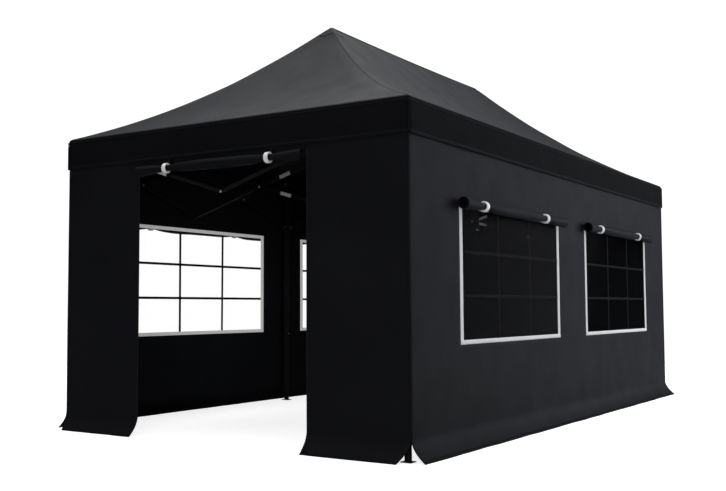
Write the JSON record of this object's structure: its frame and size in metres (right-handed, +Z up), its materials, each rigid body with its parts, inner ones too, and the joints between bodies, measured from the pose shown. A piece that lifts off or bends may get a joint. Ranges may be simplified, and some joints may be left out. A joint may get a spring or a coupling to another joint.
{
  "type": "pop up gazebo",
  "caption": "Rectangular pop-up gazebo with a hipped canopy on a folding scissor frame, telescopic legs, and side walls with roll-up windows and a rolled-up door.",
  "frame": {"origin": "on the ground at the middle of the plan", "axes": "+Z up, +Y along the long side away from the door, +X to the right seen from the door"},
  "size_m": [3.2028, 6.1128, 3.26],
  "materials": {
    "frame_tube": "satin",
    "inner_leg_tube": "satin",
    "truss_bar": "satin",
    "moulded_plastic": "matte",
    "canopy_fabric": "matte",
    "wall_fabric": "matte",
    "window_film": "gloss",
    "window_lattice": "matte",
    "white_tape": "matte",
    "white_ring": "gloss",
    "bolt_steel": "satin"
  },
  "bodies": {
    "mid_right_leg": {"outer_leg_mid_right": "frame_tube", "canopy": "canopy_fabric", "right_wall": "wall_fabric", "left_wall": "wall_fabric", "front_wall": "wall_fabric", "back_wall": "wall_fabric", "door_roll": "wall_fabric"},
    "right_front_bar_a1": {"right_front_bar_a1": "truss_bar"},
    "right_front_bar_b1": {"right_front_bar_b1": "truss_bar"},
    "right_front_bar_b2": {"right_front_bar_b2": "truss_bar"},
    "right_front_bar_a2": {"right_front_bar_a2": "truss_bar"},
    "slider_mid_right": {"slider_mid_right": "moulded_plastic"},
    "slider_front_right": {"slider_front_right": "moulded_plastic"},
    "front_right_leg": {"outer_leg_front_right": "frame_tube"},
    "hub_plate_front": {"hub_plate_front": "moulded_plastic"},
    "right_back_bar_a1": {"right_back_bar_a1": "truss_bar"},
    "right_back_bar_b1": {"right_back_bar_b1": "truss_bar"},
    "right_back_bar_b2": {"right_back_bar_b2": "truss_bar"},
    "right_back_bar_a2": {"right_back_bar_a2": "truss_bar"},
    "slider_back_right": {"slider_back_right": "moulded_plastic"},
    "back_right_leg": {"outer_leg_back_right": "frame_tube"},
    "hub_plate_back": {"hub_plate_back": "moulded_plastic"},
    "front_bar_a1": {"front_bar_a1": "truss_bar"},
    "front_bar_b1": {"front_bar_b1": "truss_bar"},
    "front_bar_b2": {"front_bar_b2": "truss_bar"},
    "front_bar_a2": {"front_bar_a2": "truss_bar"},
    "slider_front_left": {"slider_front_left": "moulded_plastic"},
    "front_left_leg": {"outer_leg_front_left": "frame_tube"},
    "back_bar_a1": {"back_bar_a1": "truss_bar"},
    "back_bar_b1": {"back_bar_b1": "truss_bar"},
    "back_bar_b2": {"back_bar_b2": "truss_bar"},
    "back_bar_a2": {"back_bar_a2": "truss_bar"},
    "slider_back_left": {"slider_back_left": "moulded_plastic"},
    "back_left_leg": {"outer_leg_back_left": "frame_tube"},
    "left_front_bar_a1": {"left_front_bar_a1": "truss_bar"},
    "left_front_bar_b1": {"left_front_bar_b1": "truss_bar"},
    "left_front_bar_b2": {"left_front_bar_b2": "truss_bar"},
    "left_front_bar_a2": {"left_front_bar_a2": "truss_bar"},
    "slider_mid_left": {"slider_mid_left": "moulded_plastic"},
    "mid_left_leg": {"outer_leg_mid_left": "frame_tube"},
    "left_back_bar_a1": {"left_back_bar_a1": "truss_bar"},
    "left_back_bar_b1": {"left_back_bar_b1": "truss_bar"},
    "left_back_bar_b2": {"left_back_bar_b2": "truss_bar"},
    "left_back_bar_a2": {"left_back_bar_a2": "truss_bar"},
    "cross_front_bar_a1": {"cross_front_bar_a1": "truss_bar"},
    "cross_front_bar_b1": {"cross_front_bar_b1": "truss_bar"},
    "cross_front_bar_b2": {"cross_front_bar_b2": "truss_bar"},
    "cross_front_bar_a2": {"cross_front_bar_a2": "truss_bar"},
    "peak_pole_front": {"peak_pole_front": "frame_tube"},
    "cross_back_bar_a1": {"cross_back_bar_a1": "truss_bar"},
    "cross_back_bar_b1": {"cross_back_bar_b1": "truss_bar"},
    "cross_back_bar_b2": {"cross_back_bar_b2": "truss_bar"},
    "cross_back_bar_a2": {"cross_back_bar_a2": "truss_bar"},
    "peak_pole_back": {"peak_pole_back": "frame_tube"},
    "front_right_inner_leg": {"inner_leg_front_right": "inner_leg_tube"},
    "mid_right_inner_leg": {"inner_leg_mid_right": "inner_leg_tube"},
    "back_right_inner_leg": {"inner_leg_back_right": "inner_leg_tube"},
    "front_left_inner_leg": {"inner_leg_front_left": "inner_leg_tube"},
    "mid_left_inner_leg": {"inner_leg_mid_left": "inner_leg_tube"},
    "back_left_inner_leg": {"inner_leg_back_left": "inner_leg_tube"}
  },
  "joints": [
    {"name": "fold", "type": "hinge", "parent": "mid_right_leg", "child": "right_front_bar_a1", "pos_m": [1.455, -0.045, 2.195], "axis": [1, 0, 0], "range_deg": [0, 67], "deforming": ["canopy", "right_wall", "left_wall", "front_wall", "back_wall", "door_roll"]},
    {"name": "right_front_bar_b1_pivot", "type": "hinge", "parent": "right_front_bar_a1", "child": "right_front_bar_b1", "pos_m": [1.455, -0.75, 1.975], "axis": [1, 0, 0], "range_deg": [-134, 0]},
    {"name": "right_front_bar_b2_pivot", "type": "hinge", "parent": "right_front_bar_a1", "child": "right_front_bar_b2", "pos_m": [1.455, -1.455, 1.755], "axis": [1, 0, 0], "range_deg": [-134, 0]},
    {"name": "right_front_bar_a2_pivot", "type": "hinge", "parent": "right_front_bar_b2", "child": "right_front_bar_a2", "pos_m": [1.455, -2.16, 1.975], "axis": [1, 0, 0], "range_deg": [0, 134]},
    {"name": "slider_mid_right_pivot", "type": "hinge", "parent": "right_front_bar_b1", "child": "slider_mid_right", "pos_m": [1.455, -0.045, 1.755], "axis": [1, 0, 0], "range_deg": [0, 67]},
    {"name": "slider_front_right_pivot", "type": "hinge", "parent": "right_front_bar_a2", "child": "slider_front_right", "pos_m": [1.455, -2.865, 1.755], "axis": [1, 0, 0], "range_deg": [-67, 0]},
    {"name": "front_right_leg_pivot", "type": "hinge", "parent": "right_front_bar_b2", "child": "front_right_leg", "pos_m": [1.455, -2.865, 2.195], "axis": [1, 0, 0], "range_deg": [0, 67]},
    {"name": "hub_plate_front_pivot", "type": "hinge", "parent": "right_front_bar_b1", "child": "hub_plate_front", "pos_m": [1.455, -1.455, 2.195], "axis": [1, 0, 0], "range_deg": [0, 67]},
    {"name": "right_back_bar_a1_pivot", "type": "hinge", "parent": "mid_right_leg", "child": "right_back_bar_a1", "pos_m": [1.455, 0.045, 2.195], "axis": [-1, 0, 0], "range_deg": [0, 67]},
    {"name": "right_back_bar_b1_pivot", "type": "hinge", "parent": "right_back_bar_a1", "child": "right_back_bar_b1", "pos_m": [1.455, 0.75, 1.975], "axis": [-1, 0, 0], "range_deg": [-134, 0]},
    {"name": "right_back_bar_b2_pivot", "type": "hinge", "parent": "right_back_bar_a1", "child": "right_back_bar_b2", "pos_m": [1.455, 1.455, 1.755], "axis": [-1, 0, 0], "range_deg": [-134, 0]},
    {"name": "right_back_bar_a2_pivot", "type": "hinge", "parent": "right_back_bar_b2", "child": "right_back_bar_a2", "pos_m": [1.455, 2.16, 1.975], "axis": [-1, 0, 0], "range_deg": [0, 134]},
    {"name": "slider_back_right_pivot", "type": "hinge", "parent": "right_back_bar_a2", "child": "slider_back_right", "pos_m": [1.455, 2.865, 1.755], "axis": [-1, 0, 0], "range_deg": [-67, 0]},
    {"name": "back_right_leg_pivot", "type": "hinge", "parent": "right_back_bar_b2", "child": "back_right_leg", "pos_m": [1.455, 2.865, 2.195], "axis": [-1, 0, 0], "range_deg": [0, 67]},
    {"name": "hub_plate_back_pivot", "type": "hinge", "parent": "right_back_bar_b1", "child": "hub_plate_back", "pos_m": [1.455, 1.455, 2.195], "axis": [-1, 0, 0], "range_deg": [0, 67]},
    {"name": "front_bar_a1_pivot", "type": "hinge", "parent": "front_right_leg", "child": "front_bar_a1", "pos_m": [1.41, -2.91, 2.195], "axis": [0, -1, 0], "range_deg": [0, 67]},
    {"name": "front_bar_b1_pivot", "type": "hinge", "parent": "front_bar_a1", "child": "front_bar_b1", "pos_m": [0.705, -2.91, 1.975], "axis": [0, -1, 0], "range_deg": [-134, 0]},
    {"name": "front_bar_b2_pivot", "type": "hinge", "parent": "front_bar_a1", "child": "front_bar_b2", "pos_m": [0, -2.91, 1.755], "axis": [0, -1, 0], "range_deg": [-134, 0]},
    {"name": "front_bar_a2_pivot", "type": "hinge", "parent": "front_bar_b2", "child": "front_bar_a2", "pos_m": [-0.705, -2.91, 1.975], "axis": [0, -1, 0], "range_deg": [0, 134]},
    {"name": "slider_front_left_pivot", "type": "hinge", "parent": "front_bar_a2", "child": "slider_front_left", "pos_m": [-1.41, -2.91, 1.755], "axis": [0, -1, 0], "range_deg": [-67, 0]},
    {"name": "front_left_leg_pivot", "type": "hinge", "parent": "front_bar_b2", "child": "front_left_leg", "pos_m": [-1.41, -2.91, 2.195], "axis": [0, -1, 0], "range_deg": [0, 67]},
    {"name": "back_bar_a1_pivot", "type": "hinge", "parent": "back_right_leg", "child": "back_bar_a1", "pos_m": [1.41, 2.91, 2.195], "axis": [0, -1, 0], "range_deg": [0, 67]},
    {"name": "back_bar_b1_pivot", "type": "hinge", "parent": "back_bar_a1", "child": "back_bar_b1", "pos_m": [0.705, 2.91, 1.975], "axis": [0, -1, 0], "range_deg": [-134, 0]},
    {"name": "back_bar_b2_pivot", "type": "hinge", "parent": "back_bar_a1", "child": "back_bar_b2", "pos_m": [0, 2.91, 1.755], "axis": [0, -1, 0], "range_deg": [-134, 0]},
    {"name": "back_bar_a2_pivot", "type": "hinge", "parent": "back_bar_b2", "child": "back_bar_a2", "pos_m": [-0.705, 2.91, 1.975], "axis": [0, -1, 0], "range_deg": [0, 134]},
    {"name": "slider_back_left_pivot", "type": "hinge", "parent": "back_bar_a2", "child": "slider_back_left", "pos_m": [-1.41, 2.91, 1.755], "axis": [0, -1, 0], "range_deg": [-67, 0]},
    {"name": "back_left_leg_pivot", "type": "hinge", "parent": "back_bar_b2", "child": "back_left_leg", "pos_m": [-1.41, 2.91, 2.195], "axis": [0, -1, 0], "range_deg": [0, 67]},
    {"name": "left_front_bar_a1_pivot", "type": "hinge", "parent": "front_left_leg", "child": "left_front_bar_a1", "pos_m": [-1.455, -2.865, 2.195], "axis": [-1, 0, 0], "range_deg": [0, 67]},
    {"name": "left_front_bar_b1_pivot", "type": "hinge", "parent": "left_front_bar_a1", "child": "left_front_bar_b1", "pos_m": [-1.455, -2.16, 1.975], "axis": [-1, 0, 0], "range_deg": [-134, 0]},
    {"name": "left_front_bar_b2_pivot", "type": "hinge", "parent": "left_front_bar_a1", "child": "left_front_bar_b2", "pos_m": [-1.455, -1.455, 1.755], "axis": [-1, 0, 0], "range_deg": [-134, 0]},
    {"name": "left_front_bar_a2_pivot", "type": "hinge", "parent": "left_front_bar_b2", "child": "left_front_bar_a2", "pos_m": [-1.455, -0.75, 1.975], "axis": [-1, 0, 0], "range_deg": [0, 134]},
    {"name": "slider_mid_left_pivot", "type": "hinge", "parent": "left_front_bar_a2", "child": "slider_mid_left", "pos_m": [-1.455, -0.045, 1.755], "axis": [-1, 0, 0], "range_deg": [-67, 0]},
    {"name": "mid_left_leg_pivot", "type": "hinge", "parent": "left_front_bar_b2", "child": "mid_left_leg", "pos_m": [-1.455, -0.045, 2.195], "axis": [-1, 0, 0], "range_deg": [0, 67]},
    {"name": "left_back_bar_a1_pivot", "type": "hinge", "parent": "back_left_leg", "child": "left_back_bar_a1", "pos_m": [-1.455, 2.865, 2.195], "axis": [1, 0, 0], "range_deg": [0, 67]},
    {"name": "left_back_bar_b1_pivot", "type": "hinge", "parent": "left_back_bar_a1", "child": "left_back_bar_b1", "pos_m": [-1.455, 2.16, 1.975], "axis": [1, 0, 0], "range_deg": [-134, 0]},
    {"name": "left_back_bar_b2_pivot", "type": "hinge", "parent": "left_back_bar_a1", "child": "left_back_bar_b2", "pos_m": [-1.455, 1.455, 1.755], "axis": [1, 0, 0], "range_deg": [-134, 0]},
    {"name": "left_back_bar_a2_pivot", "type": "hinge", "parent": "left_back_bar_b2", "child": "left_back_bar_a2", "pos_m": [-1.455, 0.75, 1.975], "axis": [1, 0, 0], "range_deg": [0, 134]},
    {"name": "cross_front_bar_a1_pivot", "type": "hinge", "parent": "hub_plate_front", "child": "cross_front_bar_a1", "pos_m": [1.41, -1.485, 2.195], "axis": [0, -1, 0], "range_deg": [0, 67]},
    {"name": "cross_front_bar_b1_pivot", "type": "hinge", "parent": "cross_front_bar_a1", "child": "cross_front_bar_b1", "pos_m": [0.705, -1.485, 1.975], "axis": [0, -1, 0], "range_deg": [-134, 0]},
    {"name": "cross_front_bar_b2_pivot", "type": "hinge", "parent": "cross_front_bar_a1", "child": "cross_front_bar_b2", "pos_m": [0, -1.485, 1.755], "axis": [0, -1, 0], "range_deg": [-134, 0]},
    {"name": "cross_front_bar_a2_pivot", "type": "hinge", "parent": "cross_front_bar_b2", "child": "cross_front_bar_a2", "pos_m": [-0.705, -1.485, 1.975], "axis": [0, -1, 0], "range_deg": [0, 134]},
    {"name": "peak_pole_front_pivot", "type": "hinge", "parent": "cross_front_bar_a1", "child": "peak_pole_front", "pos_m": [0, -1.485, 1.755], "axis": [0, -1, 0], "range_deg": [-67, 0]},
    {"name": "cross_back_bar_a1_pivot", "type": "hinge", "parent": "hub_plate_back", "child": "cross_back_bar_a1", "pos_m": [1.41, 1.485, 2.195], "axis": [0, -1, 0], "range_deg": [0, 67]},
    {"name": "cross_back_bar_b1_pivot", "type": "hinge", "parent": "cross_back_bar_a1", "child": "cross_back_bar_b1", "pos_m": [0.705, 1.485, 1.975], "axis": [0, -1, 0], "range_deg": [-134, 0]},
    {"name": "cross_back_bar_b2_pivot", "type": "hinge", "parent": "cross_back_bar_a1", "child": "cross_back_bar_b2", "pos_m": [0, 1.485, 1.755], "axis": [0, -1, 0], "range_deg": [-134, 0]},
    {"name": "cross_back_bar_a2_pivot", "type": "hinge", "parent": "cross_back_bar_b2", "child": "cross_back_bar_a2", "pos_m": [-0.705, 1.485, 1.975], "axis": [0, -1, 0], "range_deg": [0, 134]},
    {"name": "peak_pole_back_pivot", "type": "hinge", "parent": "cross_back_bar_a1", "child": "peak_pole_back", "pos_m": [0, 1.485, 1.755], "axis": [0, -1, 0], "range_deg": [-67, 0]},
    {"name": "front_right_height", "type": "slide", "parent": "front_right_leg", "child": "front_right_inner_leg", "axis": [0, 0, 1], "range_m": [0, 0.6]},
    {"name": "mid_right_height", "type": "slide", "parent": "mid_right_leg", "child": "mid_right_inner_leg", "axis": [0, 0, 1], "range_m": [0, 0.6]},
    {"name": "back_right_height", "type": "slide", "parent": "back_right_leg", "child": "back_right_inner_leg", "axis": [0, 0, 1], "range_m": [0, 0.6]},
    {"name": "front_left_height", "type": "slide", "parent": "front_left_leg", "child": "front_left_inner_leg", "axis": [0, 0, 1], "range_m": [0, 0.6]},
    {"name": "mid_left_height", "type": "slide", "parent": "mid_left_leg", "child": "mid_left_inner_leg", "axis": [0, 0, 1], "range_m": [0, 0.6]},
    {"name": "back_left_height", "type": "slide", "parent": "back_left_leg", "child": "back_left_inner_leg", "axis": [0, 0, 1], "range_m": [0, 0.6]}
  ],
  "couplings": [
    {"joint": "right_front_bar_b1_pivot", "follows": "fold", "ratio": -2},
    {"joint": "right_front_bar_b2_pivot", "follows": "fold", "ratio": -2},
    {"joint": "right_front_bar_a2_pivot", "follows": "fold", "ratio": 2},
    {"joint": "slider_mid_right_pivot", "follows": "fold", "ratio": 1},
    {"joint": "slider_front_right_pivot", "follows": "fold", "ratio": -1},
    {"joint": "front_right_leg_pivot", "follows": "fold", "ratio": 1},
    {"joint": "hub_plate_front_pivot", "follows": "fold", "ratio": 1},
    {"joint": "right_back_bar_a1_pivot", "follows": "fold", "ratio": 1},
    {"joint": "right_back_bar_b1_pivot", "follows": "fold", "ratio": -2},
    {"joint": "right_back_bar_b2_pivot", "follows": "fold", "ratio": -2},
    {"joint": "right_back_bar_a2_pivot", "follows": "fold", "ratio": 2},
    {"joint": "slider_back_right_pivot", "follows": "fold", "ratio": -1},
    {"joint": "back_right_leg_pivot", "follows": "fold", "ratio": 1},
    {"joint": "hub_plate_back_pivot", "follows": "fold", "ratio": 1},
    {"joint": "front_bar_a1_pivot", "follows": "fold", "ratio": 1},
    {"joint": "front_bar_b1_pivot", "follows": "fold", "ratio": -2},
    {"joint": "front_bar_b2_pivot", "follows": "fold", "ratio": -2},
    {"joint": "front_bar_a2_pivot", "follows": "fold", "ratio": 2},
    {"joint": "slider_front_left_pivot", "follows": "fold", "ratio": -1},
    {"joint": "front_left_leg_pivot", "follows": "fold", "ratio": 1},
    {"joint": "back_bar_a1_pivot", "follows": "fold", "ratio": 1},
    {"joint": "back_bar_b1_pivot", "follows": "fold", "ratio": -2},
    {"joint": "back_bar_b2_pivot", "follows": "fold", "ratio": -2},
    {"joint": "back_bar_a2_pivot", "follows": "fold", "ratio": 2},
    {"joint": "slider_back_left_pivot", "follows": "fold", "ratio": -1},
    {"joint": "back_left_leg_pivot", "follows": "fold", "ratio": 1},
    {"joint": "left_front_bar_a1_pivot", "follows": "fold", "ratio": 1},
    {"joint": "left_front_bar_b1_pivot", "follows": "fold", "ratio": -2},
    {"joint": "left_front_bar_b2_pivot", "follows": "fold", "ratio": -2},
    {"joint": "left_front_bar_a2_pivot", "follows": "fold", "ratio": 2},
    {"joint": "slider_mid_left_pivot", "follows": "fold", "ratio": -1},
    {"joint": "mid_left_leg_pivot", "follows": "fold", "ratio": 1},
    {"joint": "left_back_bar_a1_pivot", "follows": "fold", "ratio": 1},
    {"joint": "left_back_bar_b1_pivot", "follows": "fold", "ratio": -2},
    {"joint": "left_back_bar_b2_pivot", "follows": "fold", "ratio": -2},
    {"joint": "left_back_bar_a2_pivot", "follows": "fold", "ratio": 2},
    {"joint": "cross_front_bar_a1_pivot", "follows": "fold", "ratio": 1},
    {"joint": "cross_front_bar_b1_pivot", "follows": "fold", "ratio": -2},
    {"joint": "cross_front_bar_b2_pivot", "follows": "fold", "ratio": -2},
    {"joint": "cross_front_bar_a2_pivot", "follows": "fold", "ratio": 2},
    {"joint": "peak_pole_front_pivot", "follows": "fold", "ratio": -1},
    {"joint": "cross_back_bar_a1_pivot", "follows": "fold", "ratio": 1},
    {"joint": "cross_back_bar_b1_pivot", "follows": "fold", "ratio": -2},
    {"joint": "cross_back_bar_b2_pivot", "follows": "fold", "ratio": -2},
    {"joint": "cross_back_bar_a2_pivot", "follows": "fold", "ratio": 2},
    {"joint": "peak_pole_back_pivot", "follows": "fold", "ratio": -1}
  ]
}
